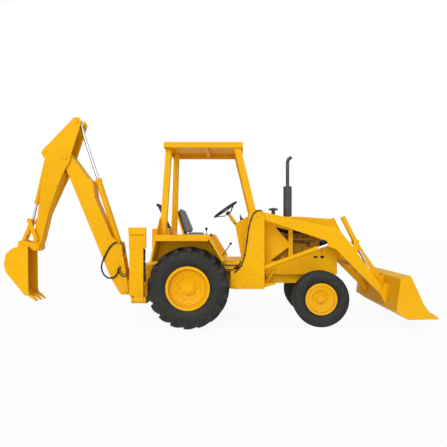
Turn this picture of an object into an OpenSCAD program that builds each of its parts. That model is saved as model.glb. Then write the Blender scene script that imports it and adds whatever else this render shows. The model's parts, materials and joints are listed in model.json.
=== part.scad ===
// Backhoe loader: tractor with open canopy, front loader and rear hoe.
// Frame: +X forward, +Y left, +Z up, ground at z = 0, origin under the middle of the machine.
// Outlines are drawn from the rear axle forward, and place() moves them to the middle.

/* [Wheels] */
// Distance between the axles
wheelbase = 2070; // [2000:10:2140]
// Rear tyre diameter over the lugs
rear_tyre_d = 1264; // [1220:4:1280]
// Rear tyre width
rear_tyre_w = 360; // [320:10:370]
// Height of the rear tyre's lugs
lug_h = 38; // [24:1:44]
// Lugs on each half of a rear tyre
lug_count = 18; // [14:1:19]
// Rear rim flange diameter
rear_rim_d = 676; // [660:4:740]
// Distance between the rear tyres' middles
rear_track = 1470; // [1460:10:1520]
// Front tyre diameter
front_tyre_d = 880; // [820:4:900]
// Front tyre width
front_tyre_w = 270; // [240:10:280]
// Front rim flange diameter
front_rim_d = 500; // [460:4:520]
// Distance between the front tyres' middles
front_track = 1200; // [1190:10:1260]
// Distance between the kingpins
kingpin_track = 860; // [840:10:870]
// Kingpin diameter
kingpin_d = 40; // [30:1:46]
// Rear axle shaft diameter
rear_shaft_d = 90; // [70:2:110]
// Front spindle diameter
front_spindle_d = 56; // [44:2:64]

/* [Frame] */
// Distance between the rails' outer faces
rail_span = 340; // [320:10:360]
// Rail width
rail_w = 60; // [40:5:70]
// Underside of the rails
rail_z = 631; // [610:1:650]
// Height of the rails
rail_h = 141; // [120:1:150]
// Front end of the frame
nose_x = 2418; // [2390:2:2440]
// Top of the operator's floor
floor_z = 1040; // [1010:5:1060]
// Hole for a front weight bolt
weight_bolt_d = 18; // [12:1:24]
// Spacing of the front weight bolts across
weight_bolt_y = 160; // [120:10:180]
// Spacing of the front weight bolts up
weight_bolt_z = 90; // [60:5:100]

/* [Body] */
// Width of the hood
hood_w = 560; // [500:10:570]
// Top of the hood at its rear
hood_top = 1752; // [1720:2:1780]
// Sheet metal thickness
sheet = 12; // [8:1:16]
// Outer width over the fenders
fender_span = 1860; // [1840:10:1900]
// Steering wheel diameter
wheel_ring_d = 490; // [400:10:520]
// Exhaust muffler diameter
muffler_d = 148; // [110:1:160]
// Exhaust pipe diameter
pipe_d = 60; // [45:1:80]
// Top of the exhaust
exhaust_top = 2816; // [2700:4:2840]

/* [Canopy] */
// Length of the roof
roof_l = 1277; // [1240:10:1320]
// Width of the roof
roof_w = 1040; // [1020:10:1100]
// Underside of the roof's rim
roof_z = 2856; // [2800:4:2900]
// Height of the roof's rim
roof_h = 89; // [60:1:110]
// Post thickness
post_w = 90; // [70:5:100]

/* [Loader] */
// Distance between the lift arms' middles
arm_span = 1010; // [1000:5:1020]
// Lift arm width
arm_w = 82; // [70:1:84]
// Gap beside an arm, between it and its tower or its bucket ears
arm_gap = 7; // [5:1:8]
// Tower plate thickness
tower_t = 20; // [12:1:24]
// Loader bucket width
bucket_w = 2080; // [1900:20:2200]
// Loader bucket plate thickness
bucket_t = 22; // [14:1:26]
// Loader pin diameter
loader_pin_d = 44; // [36:1:50]
// Lift barrel diameter
lift_barrel_d = 82; // [70:1:84]
// Lift rod diameter
lift_rod_d = 48; // [36:1:54]
// Tilt barrel diameter
tilt_barrel_d = 90; // [76:1:92]
// Tilt rod diameter
tilt_rod_d = 44; // [32:1:52]
// Thickness of the tilt levers and links
tilt_plate_t = 18; // [12:1:20]
// Width of the tilt links
tilt_link_w = 96; // [70:2:104]

/* [Hoe] */
// Boom width
boom_w = 230; // [210:2:236]
// Gap beside a hoe hinge
hoe_gap = 7; // [5:1:8]
// Mast tongue width
mast_w = 170; // [140:2:176]
// Dipper fork plate thickness
fork_t = 24; // [16:1:28]
// Dipper stick width
stick_w = 170; // [150:2:176]
// Hoe pin diameter
hoe_pin_d = 56; // [40:1:64]
// Crowd barrel diameter
crowd_barrel_d = 108; // [90:1:114]
// Crowd rod diameter
crowd_rod_d = 56; // [40:1:64]
// Bucket barrel diameter
curl_barrel_d = 86; // [70:1:90]
// Bucket rod diameter
curl_rod_d = 46; // [34:1:54]
// Hoe bucket width
hoe_bucket_w = 340; // [330:5:420]
// Hoe bucket plate thickness
hoe_bucket_t = 16; // [10:1:18]
// Swing kingpin diameter
swing_pin_d = 76; // [60:1:90]

/* [Stabilizers] */
// Distance between the stabilizer hinges
stab_span = 1600; // [1580:10:1640]
// Stabilizer arm length, from hinge to pad
stab_arm_l = 803; // [760:1:840]
// Stabilizer hinge pin diameter
stab_pin_d = 50; // [40:1:60]
// Stabilizer pad length along the machine
stab_pad_l = 264; // [220:4:268]

/* [Fits] */
// Radial clearance of a turning pin
pin_gap = 0.05; // [0.02:0.01:0.1]
// Gap between a sheet and the round piece it goes round
seat_gap = 0.4; // [0.3:0.1:1]

/* [Hidden] */
$fn = 64;

// Colours
yellow = "#f8ba0c";
dark = "#3c3a34";
stack_grey = "#4b4b44";
seat_grey = "#696c6c";
chrome = "#c8ccd0";

// Loader points, [x, z] from the rear axle
lift_pivot = [1094, 1776];
lift_base = [1021, 858];
lift_eye = [2245, 1301];
hinge = [3081, 528];
ear_pin = [3105, 726];
lever_pivot = [2666, 1132];
lever_top = lever_pivot + ear_pin - hinge;
tilt_eye = [2930, 850];
arm_tie = [2640, 975];

// Loader bucket outline
bucket_tip = [3762, 198];
bucket_heel = [3290, 189];
bucket_low = [3115, 308];
bucket_top = [3179, 799];
bucket_lip = [3330, 840];
bucket_cut = [3639, 262];

// Hoe points, [x, z] from the rear axle
swing_x = -1030;
boom_foot = [-1200, 500];
boom_tip = [-2193, 2777];
crowd_base = [-1284, 1230];
crowd_eye = [-1988, 3392];
curl_base = [-2540, 2850];
curl_pin = [-2806, 1692];
curl_pivot = [-2693, 1379];
hoe_hinge = [-2703, 1237];
link_ear = [-2964, 1305];
hoe_back_x = -3215;

// Derived places
mid_x = (bucket_tip.x + hoe_back_x) / 2;
rear_z = rear_tyre_d / 2;
front_z = front_tyre_d / 2;
rail_y = rail_span / 2;
rail_top = rail_z + rail_h;
arm_y = arm_span / 2;
tower_in = arm_y - arm_w / 2 - arm_gap;
tower_out = arm_y + arm_w / 2 + arm_gap;
hood_y = hood_w / 2;
fender_y = fender_span / 2;
fender_in = 500;
fender_top = 1451;
kingpin_y = kingpin_track / 2;
tilt_lever_y = arm_y - arm_w / 2 - arm_gap;
tilt_y = tilt_lever_y - tilt_plate_t - arm_gap - tilt_barrel_d / 2;
tilt_link_y = tilt_y - tilt_barrel_d / 2 - arm_gap;
fork_in = boom_w / 2 + hoe_gap;
fork_out = fork_in + fork_t;
stick_y = stick_w / 2;
ear_in = stick_y + hoe_gap;
ear_t = 18;
lever_in = ear_in + ear_t + hoe_gap;
lever_t = 14;
stab_y = stab_span / 2;
stab_z = 445;
stab_x = [-870, -650];
stab_arm_x = [-902, -688];
frame_y = 740;
bracket_y = 78;
swing_z = [[340, 385], [880, 930]];
hinge_t = 30;
roof_x = 843;
beam_l = 110;
axle_pin_d = 50;
axle_tube_d = 200;
boss_d = 84;
boss_h = 130;
floor_t = 20;
side_z = 786;
hood_low = 1600;
hood_drop = 38;
nose_back = 84;
grille_t = 18;
tower_rear = 690;
post_z = 1850;
post_front = 1050;
rear_post_y = 548;
seat_z = 1370;
front_end = [314, fender_top];
lip_h = 94;
cowl_y = 250;
cowl_outline = [[712, 1636], [970, 1779], [1195, hood_top], [1195, 1200], [1095, floor_z],
    [820, floor_z]];
ring_centre = [544, 1887];
ring_tilt = 34.8;
exhaust_x = 1623;
front_rim_w = front_tyre_w - 50;
rear_rim_w = rear_tyre_w - 40;
arm_end_r = 55;
arm_low = 39;
slot_r = 115;
lift_eye_w = 40;
tilt_eye_d = 64;
tilt_eye_w = 50;
side_t = 18;
ear_plate = 16;
foot_slot_r = 540;
crowd_ear = 60;
curl_pin_d = 42;
link_in = 38;
link_t = 18;
tooth_w = 50;
tooth_tip = [-2653, 323];
side_hose_d = 20;
side_route = [[700, 850], [740, 872], [780, 910], [815, 960], [845, 1030], [870, 1130], [890, 1240],
    [905, 1350],
    [920, 1460], [935, 1560], [955, 1650], [982, 1722], [1012, 1788],
    [1058, 1828], [1112, 1842], [1146, 1832]];
boom_hose_d = 28;
boom_ports = [[-1268, 1322], [-1280, 902]];
boom_route = [[-1290, 1322], [-1340, 1310], [-1390, 1275], [-1440, 1215], [-1490, 1130], [-1535, 1030],
    [-1562, 950],
    [-1568, 880], [-1545, 800], [-1495, 735], [-1430, 708], [-1365, 718], [-1315, 760], [-1288, 820],
    [-1280, 880]];
cleaner_x = 1374;
stem_d = 65;
canister_d = 216;

// Moves outlines from the rear axle to the middle of the machine
module place() { translate([-mid_x, 0, 0]) children(); }

// A piece and its mirror image on the other side
module both() {
    children();
    mirror([0, 1, 0]) children();
}

// An outline in side view, from y0 to y1
module plate(points, y0, y1) {
    translate([0, y1, 0]) rotate([90, 0, 0]) linear_extrude(y1 - y0) polygon(points);
}

// A round piece across the machine at a side-view point
module pin(p, d, y0, y1) {
    translate([p.x, y1, p.y]) rotate([90, 0, 0]) cylinder(d = d, h = y1 - y0);
}

// A round bar from a to b in the plane y
module bar(a, b, d, y) {
    run = b - a;
    translate([a.x, y, a.y]) rotate([0, atan2(run.x, run.y), 0]) cylinder(d = d, h = norm(run));
}

// A flat link with round ends and a slightly narrower middle, from y0 to y1
module link(a, b, w, y0, y1) {
    side = [a.y - b.y, b.x - a.x] / norm(b - a) * w * 0.42;
    pin(a, w, y0, y1);
    pin(b, w, y0, y1);
    plate([a - side, b - side, b + side, a + side], y0, y1);
}

// A box between two corners
module box(a, b) { translate(a) cube(b - a); }

// A tube along a route in the plane y, with one ring per point
module tube(route, d, y) {
    sides = 8;
    last = len(route) - 1;
    rings = [for (i = [0:last])
        let (run = route[min(i + 1, last)] - route[max(i - 1, 0)], side = [-run.y, run.x] / norm(run))
        for (k = [0:sides - 1])
            let (c = cos(360 * k / sides) * d / 2, s = sin(360 * k / sides) * d / 2)
            [route[i].x + side.x * c, y + s, route[i].y + side.y * c]];
    walls = [for (i = [0:last - 1], k = [0:sides - 1])
        let (n = (k + 1) % sides)
        [i * sides + k, i * sides + n, (i + 1) * sides + n, (i + 1) * sides + k]];
    near_cap = [for (k = [0:sides - 1]) sides - 1 - k];
    far_cap = [for (k = [0:sides - 1]) last * sides + k];
    polyhedron(rings, concat(walls, [near_cap, far_cap]));
}

// A point on the way from a to b
function along(a, b, far) = a + (b - a) / norm(b - a) * far;

// Two rails with their cross pieces, the axle hanger, the nose plate and the floor's props
module main_frame() color(yellow) difference() {
    hanger_t = 20;
    union() {
        both() box([stab_x[1], rail_y - rail_w, rail_z], [nose_x, rail_y, rail_top]);
        box([nose_x - 40, -rail_y, rail_z - 30], [nose_x, rail_y, rail_top]);
        for (x = [wheelbase - beam_l / 2 - seat_gap - hanger_t, wheelbase + beam_l / 2 + seat_gap])
            box([x, -rail_y, front_z - 60], [x + hanger_t, rail_y, rail_z + 40]);
        translate([wheelbase - beam_l / 2 - hanger_t, 0, front_z]) rotate([0, 90, 0])
            cylinder(d = axle_pin_d, h = beam_l + 2 * hanger_t);
        for (x = [1230, nose_x - 110]) both()
            box([x, rail_y - 1, rail_top - 32], [x + 60, hood_y, side_z]);
        for (x = [-380, 640]) both() box([x, rail_y - rail_w, rail_top - 1],
            [x + 80, rail_y, floor_z - floor_t]);
    }
    pin([0, rear_z], axle_tube_d + 2 * seat_gap, -fender_in, fender_in);
    for (y = [-0.5, 0.5], z = [-0.5, 0.5])
        translate([nose_x - 60, y * weight_bolt_y, rail_z + rail_h / 2 - 15 + z * weight_bolt_z])
        rotate([0, 90, 0])
            cylinder(d = weight_bolt_d, h = 80);
}

// Centre-pivoted beam with a boss at each end for the kingpin
module front_axle() color(yellow) difference() {
    union() {
        box([wheelbase - beam_l / 2, -kingpin_y, front_z - 55],
            [wheelbase + beam_l / 2, kingpin_y, front_z + 55]);
        both() translate([wheelbase, kingpin_y, front_z - boss_h / 2]) cylinder(d = boss_d, h = boss_h);
    }
    both() translate([wheelbase, kingpin_y, 0]) cylinder(d = kingpin_d + 2 * pin_gap, h = front_tyre_d);
    both() difference() {
        box([wheelbase - beam_l, kingpin_y - 30, 0],
            [wheelbase + beam_l, kingpin_y + 100, front_tyre_d]);
        translate([wheelbase, kingpin_y, 0]) cylinder(d = boss_d, h = front_tyre_d);
        box([wheelbase - beam_l / 2 + 20, 0, 0],
            [wheelbase + beam_l / 2 - 20, kingpin_y, front_tyre_d]);
    }
    translate([0, 0, front_z]) rotate([0, 90, 0]) cylinder(d = axle_pin_d + 2 * seat_gap, h = nose_x);
}

// Axle tubes with flanges, the final drive case and the gearbox between the rails
module rear_axle() color(yellow) {
    inner = rear_track / 2 - rear_tyre_w / 2 - 40;
    pin([0, rear_z], axle_tube_d, -inner, inner);
    both() pin([0, rear_z], axle_tube_d + 60, inner - 20, inner);
    both() pin([0, rear_z], rear_shaft_d, inner - 1, rear_track / 2 + 70);
    both() pin([0, rear_z], rear_shaft_d + 60, rear_track / 2 + 60 + seat_gap, rear_track / 2 + 76);
    case_y = rail_y - rail_w;
    case_drop = 105;
    box([-260, -case_y, rear_z - case_drop], [1200, case_y, rail_top]);
}

// Engine: block on the rails, head, filters, manifold and fan
module engine() color(yellow) {
    block_y = 170;
    box([1320, -block_y, rail_top], [2120, block_y, 1330]);
    box([1360, -120, 1329], [2080, 120, 1470]);
    for (x = [1450, 1630, 1810, 1990]) both() pin([x, 1400], 60, 119, 180);
    both() translate([1400, 175, 1360]) rotate([0, 90, 0]) cylinder(d = 70, h = 640);
    for (x = [1520, 1700]) translate([x, -block_y - 40, 900]) cylinder(d = 90, h = 190);
    for (x = [1520, 1700]) box([x - 30, -block_y - 40, 1000], [x + 30, -block_y + 1, 1040]);
    box([1860, -block_y - 60, 1060], [2040, -block_y + 1, 1240]);
    translate([2119, 0, 1150]) rotate([0, 90, 0]) cylinder(d = 120, h = 80);
    for (a = [0:60:300]) translate([2170, 0, 1150]) rotate([a, 0, 0]) box([0, -26, 50], [12, 26, 210]);
}

// Radiator with its two tanks, standing on the rails
module radiator() color(dark) {
    box([2270, -rail_y + 2, rail_top], [2350, rail_y - 2, side_z + 1]);
    box([2270, -220, side_z], [2350, 220, 1560]);
    box([2262, -230, 1559], [2358, 230, 1600]);
    difference() {
        box([2206, -215, 920], [2271, 215, 1380]);
        translate([2200, 0, 1150]) rotate([0, 90, 0]) cylinder(d = 380, h = 60);
    }
    translate([2310, 0, 1599]) cylinder(d = 60, h = 40);
}

// Hood: a folded top with short sides and a closed rear
module hood() color(yellow) difference() {
    top = [[1205, hood_low], [1205, hood_top], [1760, hood_top],
        [nose_x - nose_back, hood_top - hood_drop],
        [nose_x, hood_low]];
    inside = [[1205 + sheet, hood_low - 1], [1205 + sheet, hood_top - sheet], [1760, hood_top - sheet],
        [nose_x + 1, hood_top - hood_drop - sheet], [nose_x + 1, hood_low - 1]];
    plate(top, -hood_y, hood_y);
    plate(inside, -hood_y + sheet, hood_y - sheet);
    translate([cleaner_x, 0, hood_low]) cylinder(d = stem_d + 2 * seat_gap, h = 400);
}

// Side panels: cut open beside the engine, with a slanted window behind the post
module side_panels() color(yellow) both() difference() {
    box([1205, hood_y - sheet, side_z], [nose_x - grille_t, hood_y, hood_low]);
    plate([[1382, 1585], [1605, 1525], [1605, 1328]], 0, fender_y);
    plate([[1680, 1120], [1680, hood_low - 60], [nose_x - 90, hood_low - 60], [nose_x - 90, 1290],
        [2040, 1180]],
        0, fender_y);
    for (x = [2030, 2140]) box([x, 0, 1060], [x + 60, fender_y, 1096]);
    plate([[1300, 1010], [1605, 1010], [1605, 1240]], 0, fender_y);
}

// Grille: a frame with upright slats under the hood's nose
module grille() color(yellow) {
    pitch = 44;
    count = floor((hood_w - 60) / pitch);
    difference() {
        box([nose_x - grille_t, -hood_y, side_z], [nose_x, hood_y, hood_low]);
        box([nose_x - grille_t - 1, -hood_y + 30, side_z + 40],
            [nose_x + 1, hood_y - 30, hood_low - 40]);
    }
    for (i = [1:count - 1]) let (y = -hood_y + 30 + i * (hood_w - 60) / count)
        box([nose_x - grille_t, y - 7, side_z + 39], [nose_x - 2, y + 7, hood_low - 39]);
}

// Loader towers: two plates a side round the arm and its cylinder, tied by a box, pins and a beam
module loader_towers() color(yellow) both() {
    outline = [[1188, 581], [1188, 1720], [1160, 1834], [1070, post_z + 4], [952, post_z + 4],
        [934, 1745], [846, 1074],
        [760, 885], [tower_rear, 885], [tower_rear, 581]];
    plate(outline, tower_in - tower_t, tower_in);
    plate(outline, tower_out, tower_out + tower_t);
    box([tower_rear, tower_in - 1, 581], [tower_rear + 190, tower_out + 1, 800]);
    plate([[938, post_z - 70], [950, post_z], [post_front, post_z], [post_front, post_z - 16],
        [1000, post_z - 16]],
        tower_in - 1, tower_out + 1);
    for (p = [lift_pivot, lift_base]) pin(p, loader_pin_d, tower_in - 1, tower_out + tower_t + 8);
    for (p = [lift_pivot, lift_base]) pin(p, loader_pin_d + 40, tower_out + tower_t - 1,
        tower_out + tower_t + 10);
    box([tower_rear, rail_y, rail_z], [1180, tower_in - tower_t + 1, rail_top]);
}

// Floor between the fenders, narrower between the towers
module platform() color(yellow) {
    inner = tower_in - tower_t - 7;
    box([-460, -fender_in, floor_z - floor_t], [800, fender_in, floor_z]);
    box([799, -inner, floor_z - floor_t], [1100, inner, floor_z]);
}

// Cowl in front of the operator
module cowl() color(yellow) plate(cowl_outline, -cowl_y, cowl_y);

// Fenders: top with a deep outer lip, inner wall, and slopes at both ends
module fenders() color(yellow) both() {
    low = floor_z - floor_t;
    wall = [[-486, fender_top], [front_end.x, fender_top], [556, 1050], [556, low], [-569, low]];
    plate(wall, fender_in, fender_in + sheet);
    box([-486, fender_in, fender_top - sheet], [front_end.x, fender_y, fender_top]);
    box([-486, fender_y - sheet, fender_top - lip_h], [front_end.x, fender_y, fender_top]);
    plate([front_end, front_end - [30, 0], [526, 1050], [556, 1050]], fender_in, fender_y);
    plate([[-486, fender_top], [-460, fender_top], [-543, 1038], [-569, 1038]], fender_in, fender_y);
}

// Seat pan on its box
module seat_base() color(yellow) {
    box([-200, -190, floor_z], [110, 190, 1330]);
    box([-240, -235, 1329], [180, 235, seat_z]);
    plate([seat_lean(seat_z - 1) - [36, 0], seat_lean(seat_z - 1), seat_lean(1860),
        seat_lean(1860) - [22, 0]], -200, 200);
}

// Seat cushion
module seat_cushion() color(seat_grey) box([-108, -240, seat_z], [182, 240, seat_z + 120]);

// A point on the front face of the pan's upright
function seat_lean(z) = [-112 - 160 * (z - seat_z + 1) / (1861 - seat_z), z];

// Seat back, leaning on the pan's upright
module seat_back() color(seat_grey)
    plate([seat_lean(seat_z + 120) + [seat_gap, 0], [-12, seat_z + 120], [-188, 1896], [-262, 1896],
        seat_lean(1860) + [seat_gap, 0]], -225, 225);

// Steering wheel with three spokes, and its column down to the cowl
module steering_wheel() color(dark) {
    rim_d = 30;
    difference() {
        translate([ring_centre.x, 0, ring_centre.y]) rotate([0, -ring_tilt, 0]) {
            rotate_extrude() translate([wheel_ring_d / 2 - rim_d / 2, 0]) circle(d = rim_d);
            for (a = [60, 180, 300]) rotate([0, 90, a])
                cylinder(d = 18, h = wheel_ring_d / 2 - rim_d / 2);
            translate([0, 0, -30]) cylinder(d = 80, h = 50);
            translate([0, 0, -340]) cylinder(d = 46, h = 330);
        }
        plate(cowl_outline, -cowl_y - 1, cowl_y + 1);
    }
}

// Four leaning posts: two on the fenders, two on the towers
module canopy_posts() color(yellow) {
    top_z = roof_z + roof_h - sheet;
    top_y = roof_w / 2 - sheet - post_w / 2 - 14;
    both() hull() {
        translate([-437, rear_post_y, fender_top + 0.5]) cube([98, post_w, 1], center = true);
        translate([-365, top_y - 64, top_z - 0.5]) cube([92, post_w, 1], center = true);
    }
    both() translate([-486, 0, 0]) rotate([90, 0, 90]) linear_extrude(sheet)
        polygon([[rear_post_y - 30, fender_top], [fender_y - 40, fender_top], [rear_post_y + 20, 1735],
            [rear_post_y - 30, 1735]]);
    both() hull() {
        translate([post_front - 54, arm_y, post_z + 0.5]) cube([107, post_w, 1], center = true);
        translate([735, top_y, top_z - 0.5]) cube([110, post_w, 1], center = true);
    }
}

// Roof: a shallow tray with its rim down, and a cross channel under it
module canopy_roof() color(yellow) {
    difference() {
        box([roof_x - roof_l, -roof_w / 2, roof_z], [roof_x, roof_w / 2, roof_z + roof_h]);
        box([roof_x - roof_l + sheet, -roof_w / 2 + sheet, roof_z - 1],
            [roof_x - sheet, roof_w / 2 - sheet, roof_z + roof_h - sheet]);
    }
    box([190, -roof_w / 2 + 1, roof_z + 30], [260, roof_w / 2 - 1, roof_z + roof_h - 1]);
}

// Exhaust: neck, muffler, pipe and a bent tip
module exhaust() color(stack_grey) translate([exhaust_x, 0, 0]) {
    muffler_z = [1768, 2285];
    bend = 90;
    translate([0, 0, hood_top]) cylinder(d = pipe_d, h = 60);
    translate([0, 0, muffler_z[0]]) cylinder(d = muffler_d, h = muffler_z[1] - muffler_z[0]);
    translate([0, 0, muffler_z[1] - 1]) cylinder(d = pipe_d, h = exhaust_top - bend - muffler_z[1] + 1);
    translate([0, 0, exhaust_top - bend - 8]) rotate([0, 24, 0]) cylinder(d = pipe_d - 1, h = 62);
    translate([20, 0, exhaust_top - bend + 36]) rotate([0, 52, 0]) cylinder(d = pipe_d - 2, h = 58);
}

// Air intake: filter canister under the hood, stem and mushroom cap
module air_cleaner() color(stack_grey) translate([cleaner_x, 0, 0]) {
    canister_z = 1590;
    cap_z = hood_top + 121;
    translate([-128, 0, canister_z]) rotate([0, 90, 0]) cylinder(d = canister_d, h = 430);
    translate([0, 0, canister_z]) cylinder(d = stem_d, h = cap_z + 4 - canister_z);
    translate([0, 0, cap_z]) cylinder(d = 160, h = 26);
    translate([0, 0, cap_z + 25]) cylinder(d1 = 150, d2 = 70, h = 16);
}

// Hoe frame: cross box with the stabilizer hinges, back plate and two swing brackets
module hoe_frame() color(yellow) difference() {
    hinge_d = stab_pin_d + 50;
    union() {
        box([stab_x[0], -frame_y, stab_z - 60], [stab_x[1], frame_y, stab_z + 190]);
        box([stab_x[0], -330, stab_z + 189], [stab_x[1], 330, 950]);
        for (z = swing_z) {
            box([swing_x, -bracket_y, z[0]], [stab_x[0] + 1, bracket_y, z[1]]);
            translate([swing_x, 0, z[0]]) cylinder(r = bracket_y, h = z[1] - z[0]);
        }
        box([stab_x[0] - 40, -bracket_y, swing_z[0][0]], [stab_x[0] + 60, bracket_y, stab_z]);
        both() for (x = [stab_x[0], stab_x[1] - hinge_t])
            translate([x, stab_y, stab_z]) rotate([0, 90, 0]) cylinder(d = hinge_d, h = hinge_t);
        both() for (x = [stab_x[0], stab_x[1] - hinge_t])
            box([x, frame_y - 1, stab_z - hinge_d / 2], [x + hinge_t, stab_y, stab_z + hinge_d / 2]);
        both() translate([stab_x[0], stab_y, stab_z]) rotate([0, 90, 0])
            cylinder(d = stab_pin_d, h = stab_x[1] - stab_x[0]);
    }
    translate([swing_x, 0, 0]) cylinder(d = swing_pin_d + 2 * pin_gap, h = 1200);
}

// Hoe control stand on the floor behind the seat, with its levers
module hoe_controls() color(yellow) {
    stand = [-455, -400];
    top_z = 1560;
    box([stand[0], -170, floor_z], [stand[1], 170, top_z]);
    for (y = [-120, -40, 40, 120]) translate([stand[0] + 28, y, top_z - 1]) rotate([0, -25, 0]) {
        cylinder(d = 14, h = 440);
        translate([0, 0, 440]) sphere(d = 46);
    }
}

// Gear lever on the floor
module floor_lever() color(dark) translate([470, -180, floor_z]) {
    cylinder(d = 90, h = 24);
    translate([0, 0, 10]) rotate([0, 34, 0]) cylinder(d = 16, h = 300);
    translate([0, 0, 10]) rotate([0, 34, 0]) translate([0, 0, 300]) sphere(d = 44);
}

// Hydraulic line clipped along the tower
module side_hose() color(dark) tube(side_route, side_hose_d,
    -(tower_out + tower_t + side_hose_d / 2 + seat_gap));

// Knuckle: two yokes round the axle boss, kingpin and spindle
module knuckle(side) color(yellow) scale_side(side) translate([wheelbase, 0, front_z]) {
    yoke_in = boss_h / 2 + 6;
    yoke_out = yoke_in + 22;
    for (z = [[-yoke_out, -yoke_in], [yoke_in, yoke_out]]) {
        translate([0, kingpin_y, z[0]]) cylinder(d = boss_d, h = yoke_out - yoke_in);
        box([-boss_d / 2, kingpin_y, z[0]], [boss_d / 2, kingpin_y + boss_d / 2 + 30, z[1]]);
    }
    box([-boss_d / 2, kingpin_y + boss_d / 2 + 8, -yoke_out],
        [boss_d / 2, kingpin_y + boss_d / 2 + 30, yoke_out]);
    translate([0, kingpin_y, -yoke_out]) cylinder(d = kingpin_d, h = 2 * yoke_out);
    pin([0, 0], front_spindle_d, kingpin_y + boss_d / 2 + 29, front_track / 2 + 82);
    pin([0, 0], front_spindle_d + 40, front_track / 2 + 70 + seat_gap, front_track / 2 + 84);
}
module scale_side(side) mirror([0, side < 0 ? 1 : 0, 0]) children();
module knuckle_right() knuckle(-1);
module knuckle_left() knuckle(1);

// A rim: barrel with two flanges, dished disc and hub, turned about the axle
module rim(rim_d, width, hub_d, bore, dish) rotate([-90, 0, 0]) {
    half = width / 2;
    seat_r = rim_d / 2 - 24;
    rotate_extrude($fn = 96) polygon([[seat_r - 14, -half], [rim_d / 2, -half], [rim_d / 2, -half + 14],
        [seat_r, -half + 20], [seat_r, half - 20], [rim_d / 2, half - 14], [rim_d / 2, half],
        [seat_r - 14, half]]);
    rotate_extrude($fn = 96) polygon([[hub_d / 2 - 2, dish - 10], [hub_d / 2 + 40, dish - 10],
        [seat_r - 60, dish + 40],
        [seat_r - 13, dish + 40], [seat_r - 13, dish + 54], [seat_r - 66, dish + 54],
        [hub_d / 2 + 34, dish + 8],
        [hub_d / 2 - 2, dish + 8]]);
    rotate_extrude() polygon([[bore / 2 + pin_gap, dish - 70], [hub_d / 2, dish - 70],
        [hub_d / 2, dish + 30],
        [bore / 2 + pin_gap, dish + 30]]);
    for (a = [0:45:315]) rotate([0, 0, a]) translate([hub_d / 2 + 20, 0, dish + 7])
        cylinder(d = 26, h = 16, $fn = 6);
}

// A ring with flat sides round the axle, from an outline of [radius, place across] points
module faceted_ring(outline, sides) {
    count = len(outline);
    points = [for (i = [0:sides - 1], p = outline)
        [p[0] * cos(360 * i / sides), p[0] * sin(360 * i / sides), p[1]]];
    faces = [for (i = [0:sides - 1], k = [0:count - 1])
        let (j = (i + 1) % sides, n = (k + 1) % count)
        [i * count + k, j * count + k, j * count + n, i * count + n]];
    polyhedron(points, faces);
}

// The inner outline of a tyre, flat against its rim, up to the full width of its walls
function bead_outline(rim_d, rim_w, half, wall, sides) =
    let (seat_r = (rim_d / 2 - 24 + seat_gap) / cos(180 / sides), bead = rim_w / 2 - 21)
    [[seat_r, bead], [rim_d / 2 + 4, bead], [rim_d / 2 + wall * 0.26, half]];

// The other half of an outline, in reverse
function mirrored(outline) = [for (i = [len(outline) - 1:-1:0]) [outline[i][0], -outline[i][1]]];

// A front tyre with a rib on each side of its tread
module front_tyre_ring() rotate([-90, 0, 0]) {
    sides = 28;
    r = front_tyre_d / 2;
    half = front_tyre_w / 2;
    wall = r - front_rim_d / 2;
    groove = 10;
    outline = concat(bead_outline(front_rim_d, front_rim_w, half, wall, sides),
        [[r - wall * 0.24, half], [r, half * 0.8], [r, half * 0.3], [r - groove, half * 0.22]]);
    rotate([0, 0, 90]) faceted_ring(concat(outline, mirrored(outline)), sides);
}

// One lug: a leaning bar from the middle of the tread over the shoulder
module lug(hand) {
    r = rear_tyre_d / 2;
    half = rear_tyre_w / 2;
    lean = 13;
    inner = [r, -8, 2.2];
    outer = [r - 12, half - 2, 3.2];
    low = [r - 2 * lug_h, r - 3.2 * lug_h];
    points = [for (deep = [0, 1], end = [0, 1], edge = [-1, 1])
        let (p = end == 0 ? inner : outer, a = end * lean + edge * p[2],
        rr = deep == 0 ? p[0] : low[end])
        [rr * cos(a), rr * sin(a), hand * p[1]]];
    hull() polyhedron(points, [[0, 1, 3], [0, 3, 2], [4, 7, 5], [4, 6, 7], [0, 4, 5], [0, 5, 1],
        [2, 3, 7], [2, 7, 6], [0, 2, 6], [0, 6, 4], [1, 5, 7], [1, 7, 3]]);
}

// A rear tyre with two rows of leaning lugs, half a step apart
module rear_tyre_ring() rotate([-90, 0, 0]) {
    sides = 28;
    step = 360 / lug_count;
    r = rear_tyre_d / 2 - lug_h;
    half = rear_tyre_w / 2;
    wall = r - rear_rim_d / 2;
    outline = concat(bead_outline(rear_rim_d, rear_rim_w, half - 3, wall, sides),
        [[r - wall * 0.34, half - 3], [r, half * 0.62]]);
    faceted_ring(concat(outline, mirrored(outline)), sides);
    for (i = [0:lug_count - 1], hand = [-1, 1]) rotate([0, 0, i * step + (hand > 0 ? 0 : step / 2)])
        lug(hand);
}
module front_wheel_at(side) scale_side(side) translate([wheelbase, front_track / 2, front_z])
    children();
module rear_wheel_at(side) scale_side(side) translate([0, rear_track / 2, rear_z]) children();
module front_rim(side) color(yellow) front_wheel_at(side)
    rim(front_rim_d, front_rim_w, 130, front_spindle_d, 40);
module rear_rim(side) color(yellow) rear_wheel_at(side)
    rim(rear_rim_d, rear_rim_w, 220, rear_shaft_d, 30);
module front_tyre(side) color(dark) front_wheel_at(side) front_tyre_ring();
module rear_tyre(side) color(dark) rear_wheel_at(side) rear_tyre_ring();
module front_rim_right() front_rim(-1);
module front_rim_left() front_rim(1);
module front_tyre_right() front_tyre(-1);
module front_tyre_left() front_tyre(1);
module rear_rim_right() rear_rim(-1);
module rear_rim_left() rear_rim(1);
module rear_tyre_right() rear_tyre(-1);
module rear_tyre_left() rear_tyre(1);

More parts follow.
